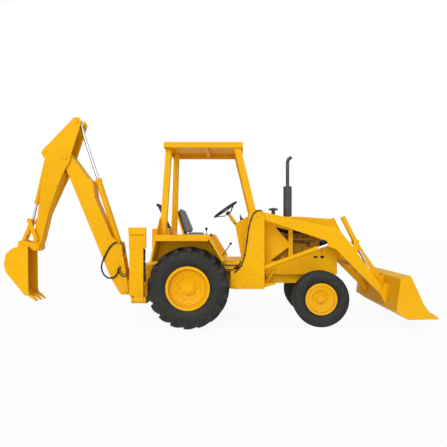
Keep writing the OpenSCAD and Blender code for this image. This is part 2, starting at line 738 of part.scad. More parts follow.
// A cylinder barrel from its base eye, bored for the rod from blind to far
module barrel(base, eye, far, d, rod_d, eye_d, eye_w, pin_d, y, blind) difference() {
    union() {
        bar(base, along(base, eye, far), d, y);
        bar(along(base, eye, far - 50), along(base, eye, far + 12), d + 8, y);
        pin(base, eye_d, y - eye_w / 2, y + eye_w / 2);
    }
    bar(along(base, eye, blind), along(base, eye, far + 20), rod_d + 2 * pin_gap, y);
    pin(base, pin_d + 2 * pin_gap, y - eye_w, y + eye_w);
}

// A cylinder rod from inside its barrel to its eye
module rod(base, eye, from, d, eye_d, eye_w, y) difference() {
    union() {
        bar(along(base, eye, from), eye, d, y);
        pin(eye, eye_d, y - eye_w / 2, y + eye_w / 2);
    }
    pin(eye, eye_d * 0.5, y - eye_w, y + eye_w);
}

// Lift arms with their knee, tied by a tube; slots at the knee hold the lift rods' eyes
module lift_arms() color(yellow) {
    in = arm_y - arm_w / 2;
    out = arm_y + arm_w / 2;
    outline = [lift_pivot + [0, arm_end_r], [2177, 1594], [2309, 1591], [2358, 1562], [2493, 1402],
        [2581, 1296],
        hinge + arm_end_r * [0.7, 0.6], hinge - arm_low * [0.706, 0.708], [2335, 1217], [2213, 1264],
        [2198, 1349],
        [1189, 1689], lift_pivot + arm_end_r * [-0.3, -0.95]];
    both() difference() {
        union() {
            plate(outline, in, out);
            for (p = [lift_pivot, hinge]) pin(p, 2 * arm_end_r, in, out);
            pin(lever_pivot, loader_pin_d, tilt_lever_y - tilt_plate_t - 4, in + 1);
            pin(tilt_eye, tilt_eye_d, tilt_y + tilt_barrel_d / 2 + arm_gap, in + 1);
        }
        for (p = [lift_pivot, hinge]) pin(p, loader_pin_d + 2 * pin_gap, in - 1, out + 1);
        pin(lift_eye, 2 * slot_r, arm_y - lift_eye_w / 2 - arm_gap, arm_y + lift_eye_w / 2 + arm_gap);
    }
    pin(arm_tie, 80, -in - 1, in + 1);
}

// Lift barrels between the tower plates
module lift_barrels() color(yellow) both()
    barrel(lift_base, lift_eye, 1080, lift_barrel_d - 8, lift_rod_d, lift_barrel_d, arm_w, loader_pin_d,
    arm_y, 90);

// Lift rods up to the arms' knees
module lift_rods() color(chrome) both()
    rod(lift_base, lift_eye, 180, lift_rod_d, 76, lift_eye_w, arm_y);

// Loader bucket: bent floor and back, two sides, ears and pins
module loader_bucket() color(yellow) {
    half = bucket_w / 2;
    t = bucket_t;
    plate([bucket_tip, bucket_heel, bucket_low, bucket_top, bucket_lip, bucket_lip - [6, t],
        bucket_top + [18, -t],
        bucket_low + [t, 8], bucket_heel + [6, t], bucket_tip + [-50, t]], -half, half);
    both() plate([bucket_tip + [-60, 0], bucket_heel, bucket_low, bucket_top, bucket_lip, [3440, 600],
        [3520, 420],
        bucket_cut, bucket_tip + [-30, 14]], half - side_t, half);
    both() plate([bucket_cut + [-90, -60], bucket_cut + [-70, 60], bucket_cut + [30, 10],
        bucket_tip + [-10, 10],
        bucket_tip + [-40, 0]], half - side_t - 8, half - side_t + 1);
    both() for (y = [tower_in - ear_plate, tower_out]) difference() {
        plate([bucket_low + [4, 40], hinge + [-46, -20], hinge + [-30, 40], hinge + [20, 130],
            bucket_top + [-12, -120]],
            y, y + ear_plate);
        pin(hinge, loader_pin_d - 4, y - 1, y + ear_plate + 1);
    }
    both() pin(hinge, loader_pin_d, tower_in - ear_plate - 6, tower_out + ear_plate + 6);
    both() pin(hinge, 84, tower_out, tower_out + ear_plate);
    both() pin(hinge, 84, tower_in - ear_plate, tower_in);
    for (y = [tilt_link_y + arm_gap, tilt_link_y - tilt_plate_t - arm_gap - ear_plate]) both() {
        plate([bucket_low + [30, 230], ear_pin + [-42, -12], ear_pin + [-30, 34], bucket_top + [4, -4]],
            y, y + ear_plate);
    }
    both() pin(ear_pin, loader_pin_d, tilt_link_y - tilt_plate_t - arm_gap - ear_plate,
        tilt_link_y + arm_gap + ear_plate);
}

// Tilt levers: from the arms up to the tilt barrels' trunnions
module tilt_levers() color(yellow) both() difference() {
    link(lever_pivot, lever_top, tilt_link_w, tilt_lever_y - tilt_plate_t, tilt_lever_y);
    for (p = [lever_pivot, lever_top])
        pin(p, loader_pin_d + 2 * pin_gap, tilt_lever_y - tilt_plate_t - 1, tilt_lever_y + 1);
}

// Tilt links: from the trunnions down to the bucket
module tilt_links() color(yellow) both() difference() {
    link(lever_top, ear_pin, tilt_link_w, tilt_link_y - tilt_plate_t, tilt_link_y);
    for (p = [lever_top, ear_pin])
        pin(p, loader_pin_d + 2 * pin_gap, tilt_link_y - tilt_plate_t - 1, tilt_link_y + 1);
}

// Tilt barrels, hung on trunnions
module tilt_barrels() color(yellow) both() difference() {
    union() {
        bar(along(lever_top, tilt_eye, -465), along(lever_top, tilt_eye, 145), tilt_barrel_d - 8,
            tilt_y);
        bar(along(lever_top, tilt_eye, 100), along(lever_top, tilt_eye, 145), tilt_barrel_d, tilt_y);
        pin(lever_top, loader_pin_d, tilt_link_y - tilt_plate_t - 4, tilt_lever_y);
    }
    bar(along(lever_top, tilt_eye, -440), along(lever_top, tilt_eye, 150), tilt_rod_d + 2 * pin_gap,
        tilt_y);
}

// Tilt rods down to the arms
module tilt_rods() color(chrome) both()
    rod(lever_top, tilt_eye, -20, tilt_rod_d, tilt_eye_d, tilt_eye_w, tilt_y);

// Swing mast: kingpin post with a tongue for the boom's foot
module swing_mast() color(yellow) difference() {
    low = swing_z[0][1] + hoe_gap;
    high = swing_z[1][0] - hoe_gap;
    union() {
        translate([swing_x, 0, low]) cylinder(r = mast_w / 2 - 5, h = high - low);
        translate([swing_x, 0, swing_z[0][0] - 10])
            cylinder(d = swing_pin_d, h = swing_z[1][1] - swing_z[0][0] + 20);
        for (z = [swing_z[0][0] - 30, swing_z[1][1] + 6]) translate([swing_x, 0, z])
            cylinder(d = swing_pin_d + 30, h = 24);
        plate([boom_foot + [0, 76], [swing_x, boom_foot.y + 260], [swing_x, boom_foot.y - 90],
            boom_foot + [0, -76]],
            -mast_w / 2, mast_w / 2);
        pin(boom_foot, 152, -mast_w / 2, mast_w / 2);
    }
    pin(boom_foot, hoe_pin_d + 2 * pin_gap, -mast_w, mast_w);
}

// Boom: deep box, forked at its foot and open on top round the crowd barrel, with its pins
module boom() color(yellow) {
    half = boom_w / 2;
    boom_box();
    pin(boom_foot, hoe_pin_d, -half - 8, half + 8);
    pin(crowd_base, hoe_pin_d - 10, -half + 1, half - 1);
}
module boom_box() difference() {
    half = boom_w / 2;
    lie = (crowd_eye - crowd_base) / norm(crowd_eye - crowd_base);
    left = [-lie.y, lie.x];
    union() {
        plate([boom_foot + [-76, -30], [-1420, 720], [-2183, 2577], boom_tip + [-100, 0],
            boom_tip + [0, 100],
            [-2087, 2794], [-1811, 2421], [-1745, 2375], [-1715, 2310], [-1690, 2085], [-1405, 1425],
            [-1330, 1352],
            [-1246, 1320], [-1156, 800],
            boom_foot + [80, 40]], -half, half);
        pin(boom_foot, 160, -half, half);
        pin(boom_tip, 200, -half, half);
        pin(crowd_base, 120, -half, half);
        pin(boom_foot, hoe_pin_d + 30, -half - 14, half + 14);
        for (p = boom_ports) pin(p, boom_hose_d + 8, -half - boom_hose_d - 4, 0);
    }
    pin(boom_foot, 2 * foot_slot_r, -mast_w / 2 - hoe_gap, mast_w / 2 + hoe_gap);
    plate([crowd_base + 85 * left - 90 * lie, crowd_base + 85 * left + 1500 * lie,
        crowd_base - 400 * left + 1500 * lie,
        crowd_base - 400 * left - 90 * lie], -crowd_barrel_d / 2 - hoe_gap,
        crowd_barrel_d / 2 + hoe_gap);
    pin(boom_tip, hoe_pin_d + 2 * pin_gap, -boom_w, boom_w);
}

// Hose loop at the boom's foot
module boom_hose() color(dark) tube(boom_route, boom_hose_d,
    -(boom_w / 2 + boom_hose_d / 2 + seat_gap));

// Crowd barrel on the boom
module crowd_barrel() color(yellow)
    barrel(crowd_base, crowd_eye, 1236, crowd_barrel_d - 8, crowd_rod_d, 104, crowd_barrel_d - 2,
    hoe_pin_d - 10, 0, 110);

// Crowd rod up to the dipper's head
module crowd_rod() color(chrome) rod(crowd_base, crowd_eye, 1130, crowd_rod_d, 104, 80, 0);

// Dipper: fork plates round the boom's tip, joined by a web, and a narrower stick below
module dipper() color(yellow) difference() {
    fork = [[-2030, 3452], [-1945, 3446], [-1909, 3378], [-2088, 2815], [-2105, 2700], [-2183, 2577],
        [-2300, 2310],
        [-2592, 2310], [-2517, 2728], [-2592, 2830], [-2575, 2888]];
    union() {
        both() plate(fork, fork_in, fork_out);
        plate([[-2093, 3383], [-2075, 3353], [-2410, 3004], [-2430, 3028]], -fork_out, fork_out);
        plate([[-2260, 2500], [-2310, 2312], [-2590, 2312], [-2540, 2600], [-2340, 2640]], -fork_out,
            fork_out);
        plate([[-2330, 2640], [-2250, 2530], [-2508, 1786], [-2611, 1358], hoe_hinge + [60, 36],
            hoe_hinge + [-62, 34],
            [-2752, 1400], [-2684, 1786], [-2545, 2600]], -stick_y, stick_y);
        both() hull() {
            plate([[-2302, 2311], [-2590, 2311], [-2586, 2332], [-2294, 2332]], stick_y - 1, fork_out);
            plate([[-2492, 1830], [-2674, 1830], [-2669, 1858], [-2482, 1858]], stick_y - 1,
                stick_y + 2);
        }
        pin(hoe_hinge, 140, -stick_y, stick_y);
        pin(boom_tip, hoe_pin_d, -fork_out - 10, fork_out + 10);
        both() pin(boom_tip, hoe_pin_d + 40, fork_out - 1, fork_out + 12);
        both() pin(crowd_eye, hoe_pin_d, crowd_ear, fork_out + 10);
        pin(curl_base, hoe_pin_d - 12, -fork_out - 8, fork_out + 8);
        both() pin(curl_pivot, curl_pin_d, 0, lever_in + lever_t + 6);
    }
    pin(hoe_hinge, hoe_pin_d + 2 * pin_gap, -stick_w, stick_w);
}

// Bucket barrel along the stick
module curl_barrel() color(yellow)
    barrel(curl_base, curl_pin, 880, curl_barrel_d - 8, curl_rod_d, 92, 120, hoe_pin_d - 12, 0, 90);

// Bucket rod down to the lever's pin
module curl_rod() color(chrome) rod(curl_base, curl_pin, 170, curl_rod_d, 80, 60, 0);

// Guide lever: two plates with pin stubs that carry the link
module curl_lever() color(yellow) both() difference() {
    union() {
        link(curl_pivot, curl_pin, 78, lever_in, lever_in + lever_t);
        pin(curl_pin, curl_pin_d, link_in, lever_in + 1);
    }
    pin(curl_pivot, curl_pin_d + 2 * pin_gap, lever_in - 1, lever_in + lever_t + 1);
}

// Push link: two plates tied by a bar, down to the bucket's ears
module curl_link() color(yellow) {
    tie = along(curl_pin, link_ear, 0.68 * norm(link_ear - curl_pin));
    both() difference() {
        link(curl_pin, link_ear, 60, link_in, link_in + link_t);
        pin(curl_pin, curl_pin_d + 2 * pin_gap, link_in - 1, link_in + link_t + 1);
    }
    pin(tie, 44, -link_in - 1, link_in + 1);
}

// Hoe bucket: curved shell between two sides, ears, cutting lip and teeth
module hoe_bucket() color(yellow) {
    half = hoe_bucket_w / 2;
    t = hoe_bucket_t;
    shell = [[-2810, 1250], [-2900, 1256], [-3032, 1231], [-3097, 1200], [-3184, 1118], [-3215, 951],
        [-3184, 814],
        [-2866, 425], [-2760, 392]];
    inner = [[-2760, 392 + t], [-2860, 425 + t], [-3170 + t, 820 + t / 2], [-3215 + t + 4, 951],
        [-3184 + t, 1110],
        [-3092 + t / 2, 1200 - t], [-3028, 1231 - t], [-2900, 1256 - t], [-2810, 1250 - t]];
    plate(concat(shell, inner), -half, half);
    both() plate(concat(shell, [[-2801, 485]]), half - t, half);
    both() difference() {
        plate([hoe_hinge + [50, -40], hoe_hinge + [50, 40], hoe_hinge + [-20, 66], link_ear + [20, 50],
            link_ear + [-40, 30],
            [-3010, 1218], [-2900, 1240], [-2810, 1230], hoe_hinge + [-40, -60]], ear_in,
            ear_in + ear_t);
        pin(hoe_hinge, hoe_pin_d - 4, 0, hoe_bucket_w);
    }
    pin(hoe_hinge, hoe_pin_d, -ear_in - ear_t - 2, ear_in + ear_t + 2);
    both() pin(link_ear, 60, link_in + link_t + hoe_gap, ear_in + 1);
    for (y = [-half + tooth_w / 2 + 6, 0, half - tooth_w / 2 - 6])
        plate([[-2775, 386], [-2775, 420], [-2740, 412], tooth_tip, tooth_tip - [14, 6]],
        y - tooth_w / 2, y + tooth_w / 2);
}

// Stabilizer: hinge tube, web, arm and pad, folded up
module stabilizer(side) color(yellow) scale_side(side) difference() {
    tube_x = [stab_x[0] + hinge_t + 6, stab_x[1] - hinge_t - 6];
    arm_z = stab_z + stab_arm_l;
    pad_mid = (stab_arm_x[0] + stab_arm_x[1]) / 2 + 18;
    pad_x = [pad_mid - stab_pad_l / 2, pad_mid + stab_pad_l / 2];
    pad_rim = 30;
    union() {
        translate([tube_x[0], stab_y, stab_z]) rotate([0, 90, 0])
            cylinder(d = stab_pin_d + 44, h = tube_x[1] - tube_x[0]);
        box([tube_x[0], stab_y - 25, stab_z + 20], [tube_x[1], stab_y + 25, stab_z + 71]);
        box([stab_arm_x[0], stab_y - 30, stab_z + 70], [stab_arm_x[1], stab_y + 30, arm_z]);
        box([pad_x[0], stab_y + 10, arm_z - 1], [pad_x[1], stab_y + 34, arm_z + 314]);
        box([pad_x[0], stab_y + 33, arm_z + 209], [pad_x[1], stab_y + 60, arm_z + 314]);
        box([pad_x[1] - pad_rim, stab_y + 33, arm_z - 1], [pad_x[1], stab_y + 60, arm_z + 210]);
        box([pad_mid - 60, stab_y - 30, arm_z - 1], [pad_mid - 40, stab_y + 11, arm_z + 250]);
        box([pad_mid + 40, stab_y - 30, arm_z - 1], [pad_mid + 60, stab_y + 11, arm_z + 250]);
    }
    translate([stab_x[0], stab_y, stab_z]) rotate([0, 90, 0])
        cylinder(d = stab_pin_d + 2 * pin_gap, h = 400);
}
module stabilizer_right() stabilizer(-1);
module stabilizer_left() stabilizer(1);

place() main_frame();
place() front_axle();
place() rear_axle();
place() engine();
place() radiator();
place() hood();
place() side_panels();
place() grille();
place() loader_towers();
place() platform();
place() cowl();
place() fenders();
place() seat_base();
place() seat_cushion();
place() seat_back();
place() steering_wheel();
place() canopy_posts();
place() canopy_roof();
place() exhaust();
place() air_cleaner();
place() hoe_frame();
place() hoe_controls();
place() floor_lever();
place() side_hose();
place() knuckle_right();
place() knuckle_left();
place() front_rim_right();
place() front_rim_left();
place() front_tyre_right();
place() front_tyre_left();
place() rear_rim_right();
place() rear_rim_left();
place() rear_tyre_right();
place() rear_tyre_left();
place() lift_arms();
place() lift_barrels();
place() lift_rods();
place() loader_bucket();
place() tilt_levers();
place() tilt_links();
place() tilt_barrels();
place() tilt_rods();
place() swing_mast();
place() boom();
place() boom_hose();
place() crowd_barrel();
place() crowd_rod();
place() dipper();
place() curl_barrel();
place() curl_rod();
place() curl_lever();
place() curl_link();
place() hoe_bucket();
place() stabilizer_right();
place() stabilizer_left();
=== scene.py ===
import json
import math

import bmesh
import bpy
from mathutils import Matrix, Vector
from mathutils.bvhtree import BVHTree


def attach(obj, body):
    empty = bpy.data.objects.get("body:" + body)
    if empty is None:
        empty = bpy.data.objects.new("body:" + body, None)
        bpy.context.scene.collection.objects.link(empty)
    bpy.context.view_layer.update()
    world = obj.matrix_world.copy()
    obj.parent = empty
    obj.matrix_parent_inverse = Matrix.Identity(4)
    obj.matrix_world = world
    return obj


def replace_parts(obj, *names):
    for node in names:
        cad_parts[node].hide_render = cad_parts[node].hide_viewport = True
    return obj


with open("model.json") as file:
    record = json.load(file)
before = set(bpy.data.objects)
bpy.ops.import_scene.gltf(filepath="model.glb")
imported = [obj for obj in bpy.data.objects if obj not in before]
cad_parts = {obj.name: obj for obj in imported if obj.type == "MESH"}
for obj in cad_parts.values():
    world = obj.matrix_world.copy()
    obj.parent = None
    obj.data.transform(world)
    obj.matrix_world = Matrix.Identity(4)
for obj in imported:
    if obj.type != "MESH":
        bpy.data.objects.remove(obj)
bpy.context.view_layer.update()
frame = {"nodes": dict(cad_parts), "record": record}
nodes = frame["nodes"]

# Outlines are written in millimetres from the rear axle, as the part's source has them
MIDDLE_X = 273.5


def at(x, z, y=0.0):
    return Vector(((x - MIDDLE_X) / 1000, y / 1000, z / 1000))


# Places and faces that several pieces share
REAR_R, REAR_Y = 632.0, 735
FRONT_X, FRONT_R, FRONT_Y = 2070, 440, 600
TOWER_Y, PANEL_Y, SKIRT_Y, BOOM_Y = 573, 280, 526, 115
HANDS = ((-1, "right"), (1, "left"))


# Camera at the photograph's place, level and square to the machine's side
camera_data = bpy.data.cameras.new("camera")
camera = bpy.data.objects.new("camera", camera_data)
bpy.context.scene.collection.objects.link(camera)
camera.location = (0.5225, -7.0, 1.478)
camera.rotation_euler = (math.radians(90), 0, 0)
camera_data.lens = 32.4
camera_data.sensor_width = 36
camera_data.shift_x = -0.0369
camera_data.shift_y = 0.0213
bpy.context.scene.camera = camera
bpy.context.scene.view_settings.view_transform = "Standard"


# Shader helpers
class Shader:
    """A principled material with its coordinates, built from small steps"""

    def __init__(self, name, rough, metal=0.0):
        self.material = bpy.data.materials.new(name)
        self.material.use_nodes = True
        self.tree = self.material.node_tree
        self.bsdf = self.tree.nodes["Principled BSDF"]
        self.bsdf.inputs["Roughness"].default_value = rough
        self.bsdf.inputs["Metallic"].default_value = metal
        self.coords = self.node("ShaderNodeTexCoord").outputs["Object"]

    def node(self, kind):
        return self.tree.nodes.new(kind)

    def join(self, source, target):
        self.tree.links.new(source, target)

    def noise(self, scale, detail=4.0, rough=0.55, stretch=None):
        texture = self.node("ShaderNodeTexNoise")
        texture.inputs["Scale"].default_value = scale
        texture.inputs["Detail"].default_value = detail
        texture.inputs["Roughness"].default_value = rough
        source = self.coords
        if stretch:
            mapping = self.node("ShaderNodeMapping")
            mapping.inputs["Scale"].default_value = stretch
            self.join(self.coords, mapping.inputs["Vector"])
            source = mapping.outputs["Vector"]
        self.join(source, texture.inputs["Vector"])
        return texture.outputs["Fac"]

    def cells(self, scale):
        texture = self.node("ShaderNodeTexVoronoi")
        texture.feature = "DISTANCE_TO_EDGE"
        texture.inputs["Scale"].default_value = scale
        self.join(self.coords, texture.inputs["Vector"])
        return texture.outputs["Distance"]

    def ramp(self, value, low, high, start=0.0, end=1.0):
        spread = self.node("ShaderNodeMapRange")
        spread.inputs["From Min"].default_value = low
        spread.inputs["From Max"].default_value = high
        spread.inputs["To Min"].default_value = start
        spread.inputs["To Max"].default_value = end
        self.join(value, spread.inputs["Value"])
        return spread.outputs["Result"]

    def times(self, a, b, operation="MULTIPLY"):
        math_node = self.node("ShaderNodeMath")
        math_node.operation = operation
        self.join(a, math_node.inputs[0])
        if isinstance(b, (int, float)):
            math_node.inputs[1].default_value = b
        else:
            self.join(b, math_node.inputs[1])
        return math_node.outputs[0]

    def mix(self, factor, a, b):
        blend = self.node("ShaderNodeMix")
        blend.data_type = "RGBA"
        self.join(factor, blend.inputs["Factor"])
        for value, socket in ((a, blend.inputs["A"]), (b, blend.inputs["B"])):
            if isinstance(value, tuple):
                socket.default_value = (*value, 1.0)
            else:
                self.join(value, socket)
        return blend.outputs["Result"]

    def edges(self, radius):
        bevel = self.node("ShaderNodeBevel")
        bevel.samples = 4
        bevel.inputs["Radius"].default_value = radius
        surface = self.node("ShaderNodeNewGeometry")
        dot = self.node("ShaderNodeVectorMath")
        dot.operation = "DOT_PRODUCT"
        self.join(bevel.outputs["Normal"], dot.inputs[0])
        self.join(surface.outputs["Normal"], dot.inputs[1])
        return bevel.outputs["Normal"], self.ramp(dot.outputs["Value"], 0.97, 0.80)

    def height(self):
        place = self.node("ShaderNodeSeparateXYZ")
        self.join(self.coords, place.inputs["Vector"])
        return place.outputs["Z"]

    def bump(self, value, strength, distance, normal=None):
        relief = self.node("ShaderNodeBump")
        relief.inputs["Strength"].default_value = strength
        relief.inputs["Distance"].default_value = distance
        self.join(value, relief.inputs["Height"])
        if normal is not None:
            self.join(normal, relief.inputs["Normal"])
        self.join(relief.outputs["Normal"], self.bsdf.inputs["Normal"])

    def colour(self, source):
        self.join(source, self.bsdf.inputs["Base Color"])

    def rough(self, source):
        self.join(source, self.bsdf.inputs["Roughness"])


DUST = (0.42, 0.30, 0.17)
RUST = (0.16, 0.06, 0.02)


# Materials
def paint(name, main, faded, rough, wear):
    s = Shader(name, rough)
    blotch = s.ramp(s.noise(1.3, 5), 0.35, 0.68)
    fine = s.noise(38, 3)
    base = s.mix(blotch, main, faded)
    streaks = s.ramp(s.noise(9, 4, stretch=(1.0, 1.0, 0.12)), 0.55, 0.85, 0.0, 0.22)
    base = s.mix(streaks, base, faded)
    low = s.ramp(s.height(), 0.75, 0.1, 0.0, 0.22)
    base = s.mix(s.times(low, s.ramp(s.noise(6, 6), 0.35, 0.75)), base, DUST)
    round_normal, edge = s.edges(0.006)
    chips = s.times(edge, s.ramp(s.noise(21, 6, 0.7), 0.56, 0.66))
    base = s.mix(s.times(chips, wear), base, RUST)
    s.colour(base)
    s.rough(s.ramp(fine, 0.3, 0.7, rough - 0.07, rough + 0.1))
    s.bump(s.noise(120, 2), 0.08, 0.0006, round_normal)
    s.bsdf.inputs["Specular IOR Level"].default_value = 0.09
    return s.material


def rubber(name, main, faded, rough, grain):
    s = Shader(name, rough)
    base = s.mix(s.ramp(s.noise(4, 6, 0.65), 0.35, 0.7), main, faded)
    dust = s.ramp(s.noise(14, 6, 0.7), 0.5, 0.78, 0.0, 0.22)
    s.colour(s.mix(dust, base, (0.10, 0.09, 0.07)))
    s.rough(s.ramp(s.noise(30, 3), 0.3, 0.7, rough - 0.08, rough + 0.1))
    s.bump(s.noise(grain, 3), 0.25, 0.0015)
    s.bsdf.inputs["Specular IOR Level"].default_value = 0.28
    return s.material


def steel(name, main, rough):
    s = Shader(name, rough, 1.0)
    scratch = s.noise(60, 3, stretch=(0.06, 1.0, 0.06))
    s.colour(s.mix(s.ramp(scratch, 0.4, 0.7), main, tuple(0.82 * c for c in main)))
    s.rough(s.ramp(scratch, 0.35, 0.7, rough, rough + 0.12))
    s.bump(scratch, 0.04, 0.0004)
    return s.material


def iron(name, main, faded, rough):
    s = Shader(name, rough, 0.25)
    s.colour(s.mix(s.ramp(s.noise(7, 6, 0.65), 0.38, 0.66), main, faded))
    s.rough(s.ramp(s.noise(40, 3), 0.3, 0.7, rough - 0.1, rough + 0.12))
    s.bump(s.noise(170, 3), 0.2, 0.0008)
    return s.material


def vinyl(name, main, faded, rough):
    s = Shader(name, rough)
    grain = s.cells(260)
    s.colour(s.mix(s.ramp(s.noise(5, 5), 0.35, 0.7), main, faded))
    s.rough(s.ramp(s.noise(22, 4), 0.3, 0.7, rough - 0.08, rough + 0.08))
    s.bump(s.ramp(grain, 0.0, 0.12), 0.35, 0.0006)
    s.bsdf.inputs["Sheen Weight"].default_value = 0.08
    return s.material


YELLOW = paint("yellow_enamel", (0.87, 0.455, 0.002), (0.81, 0.395, 0.002), 0.46, 0.55)
TYRE = rubber("tyre_rubber", (0.012, 0.012, 0.010), (0.021, 0.020, 0.017), 0.56, 90)
HOSE = rubber("hose_rubber", (0.012, 0.012, 0.011), (0.022, 0.022, 0.02), 0.5, 240)
CHROME = steel("hard_chrome", (0.60, 0.61, 0.63), 0.14)
BOLT = steel("plated_bolt", (0.45, 0.43, 0.40), 0.34)
STACK = iron("dull_iron", (0.042, 0.042, 0.037), (0.068, 0.064, 0.056), 0.55)
BLACK = iron("satin_black", (0.014, 0.014, 0.014), (0.024, 0.024, 0.023), 0.42)
SEAT = vinyl("seat_vinyl", (0.085, 0.092, 0.095), (0.125, 0.132, 0.135), 0.46)
WELT = vinyl("welt_vinyl", (0.30, 0.31, 0.31), (0.36, 0.37, 0.37), 0.42)

# Dark brown enamel for the engine: painted shade standing in for the dark engine bay, with the same dust
# and edge chips as the yellow paint
ENGINE_SHADED = paint("shade_darkened_enamel", (0.50, 0.24, 0.010), (0.20, 0.105, 0.018), 0.56, 0.7)

SLOT_LOOKS = {"paint": YELLOW, "tyre": TYRE, "rod": CHROME, "seat": SEAT, "stack": STACK,
              "dark": BLACK, "hose": HOSE}
for part in frame["record"]["subparts"]:
    mesh = nodes[part["node"]].data
    mesh.materials.clear()
    mesh.materials.append(SLOT_LOOKS[part["material_slot"]])
nodes["engine"].data.materials[0] = ENGINE_SHADED


# Mesh helpers
def add_piece(name, mesh, look, body, smooth=True):
    piece = bpy.data.objects.new(name, mesh)
    bpy.context.scene.collection.objects.link(piece)
    mesh.materials.append(look)
    if smooth:
        mesh.shade_smooth()
        mesh.set_sharp_from_angle(angle=math.radians(38))
    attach(piece, body)
    return piece


def mesh_of(name, points, faces):
    mesh = bpy.data.meshes.new(name)
    mesh.from_pydata([tuple(p) for p in points], [], faces)
    mesh.update()
    tidy = bmesh.new()
    tidy.from_mesh(mesh)
    bmesh.ops.recalc_face_normals(tidy, faces=tidy.faces)
    tidy.to_mesh(mesh)
    tidy.free()
    return mesh


def lathe(profile, turns, centre):
    points, faces = [], []
    count = len(profile)
    for k in range(turns):
        angle = 2 * math.pi * k / turns
        for y, r in profile:
            points.append(centre + Vector((r * math.cos(angle), y, r * math.sin(angle))) / 1000)
    for k in range(turns):
        for i in range(count):
            a, b = k * count + i, k * count + (i + 1) % count
            c, d = ((k + 1) % turns) * count + (i + 1) % count, ((k + 1) % turns) * count + i
            faces.append((a, b, c, d))
    return points, faces


# Rear tyres: round carcass with leaning bars that reach down the shoulders
BAR_COUNT = 18
CARCASS = [(139, 314.6), (139.5, 342), (150, 366), (168, 398), (176, 430), (177, 470), (174, 508),
           (160, 548), (136, 577), (105, 590), (55, 594)]
# Along a bar: distance from the tread's middle, top and foot radius, half width and lean in degrees
BAR = [(-8, 630, 578, 2.1, 0.0), (0, 632, 578, 2.3, 0.5), (50, 631, 576, 2.5, 4.0),
       (104, 628, 570, 2.7, 7.7), (144, 623, 552, 2.9, 10.5), (167, 615, 526, 3.1, 12.2),
       (176, 602, 506, 3.2, 12.8), (178, 590, 502, 2.9, 13.0)]
TREAD_TURNS = 96


def rear_tyre(name, side, body):
    profile = CARCASS + [(0, 595)] + [(-y, r) for y, r in reversed(CARCASS)]
    centre = at(0, REAR_R, side * REAR_Y)
    points, faces = lathe(profile, TREAD_TURNS, centre)
    step = 360 / BAR_COUNT
    for hand in (-1, 1):
        for k in range(BAR_COUNT):
            turn = k * step + (0 if hand > 0 else step / 2)
            first = len(points)
            for y, top, foot, wide, lean in BAR:
                for r, w in ((foot, wide + 1.0), (top - 5, wide + 0.12), (top, wide - 0.4),
                             (top, 0.4 - wide), (top - 5, -wide - 0.12), (foot, -wide - 1.0)):
                    angle = -math.radians(turn + lean + w)
                    spot = Vector((r * math.cos(angle), side * hand * y, r * math.sin(angle)))
                    points.append(centre + spot / 1000)
            for i in range(len(BAR) - 1):
                for j in range(6):
                    a = first + i * 6 + j
                    b = first + i * 6 + (j + 1) % 6
                    faces.append((a, b, b + 6, a + 6))
            faces.append(tuple(first + j for j in range(6)))
            last = first + (len(BAR) - 1) * 6
            faces.append(tuple(last + 5 - j for j in range(6)))
    return add_piece(name, mesh_of(name, points, faces), TYRE, body)


for side, hand in HANDS:
    tyre = rear_tyre("rear_tread_" + hand, side, "rear_%s_wheel" % hand)
    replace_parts(tyre, "rear_tyre_" + hand)


# Front tyres: two ribs on each side of a middle groove
def front_tyre(name, side, body):
    wall = [(89, 251), (104, 268), (123, 291), (132, 314), (134.5, 345), (133, 378), (126, 404), (117, 425)]
    ribs = [(108, 436), (102, 439.5), (80, 440), (77, 430), (68, 430), (65, 440), (41, 440), (30, 430),
            (0, 430)]
    outer = wall + ribs
    bead = (89, 226.6)
    profile = [bead] + outer + [(-y, r) for y, r in reversed(outer[:-1])] + [(-bead[0], bead[1])]
    points, faces = lathe(profile, TREAD_TURNS, at(FRONT_X, FRONT_R, side * FRONT_Y))
    return add_piece(name, mesh_of(name, points, faces), TYRE, body)


for side, hand in HANDS:
    tyre = front_tyre("front_tread_" + hand, side, "front_%s_wheel" % hand)
    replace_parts(tyre, "front_tyre_" + hand)


# Hose loop at the boom's foot, lying on the boom's near side
HOSE_D, HOSE_GAP = 28, 0.4
boom_route = [(-1290, 1322), (-1340, 1310), (-1390, 1275), (-1440, 1215), (-1490, 1130), (-1535, 1030),
              (-1562, 950), (-1568, 880), (-1545, 800), (-1495, 735), (-1430, 708), (-1365, 718),
              (-1315, 760), (-1288, 820), (-1280, 880)]


def hose_curve(name, route, diameter):
    curve = bpy.data.curves.new(name, "CURVE")
    curve.dimensions = "3D"
    curve.bevel_depth = diameter / 2000
    curve.bevel_resolution = 4
    curve.resolution_u = 8
    curve.use_fill_caps = True
    spline = curve.splines.new("BEZIER")
    spline.bezier_points.add(len(route) - 1)
    for knot, place in zip(spline.bezier_points, route):
        knot.co = place
        knot.handle_left_type = "AUTO"
        knot.handle_right_type = "AUTO"
    return curve


def boom_cord(name, route, diameter):
    y = -(BOOM_Y + diameter / 2 + HOSE_GAP)
    places = [at(x, z, y) for x, z in route]
    hose = bpy.data.objects.new(name, hose_curve(name, places, diameter))
    bpy.context.scene.collection.objects.link(hose)
    hose.data.materials.append(HOSE)
    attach(hose, "hoe_boom")
    return hose


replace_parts(boom_cord("boom_hose_line", boom_route, HOSE_D), "boom_hose")

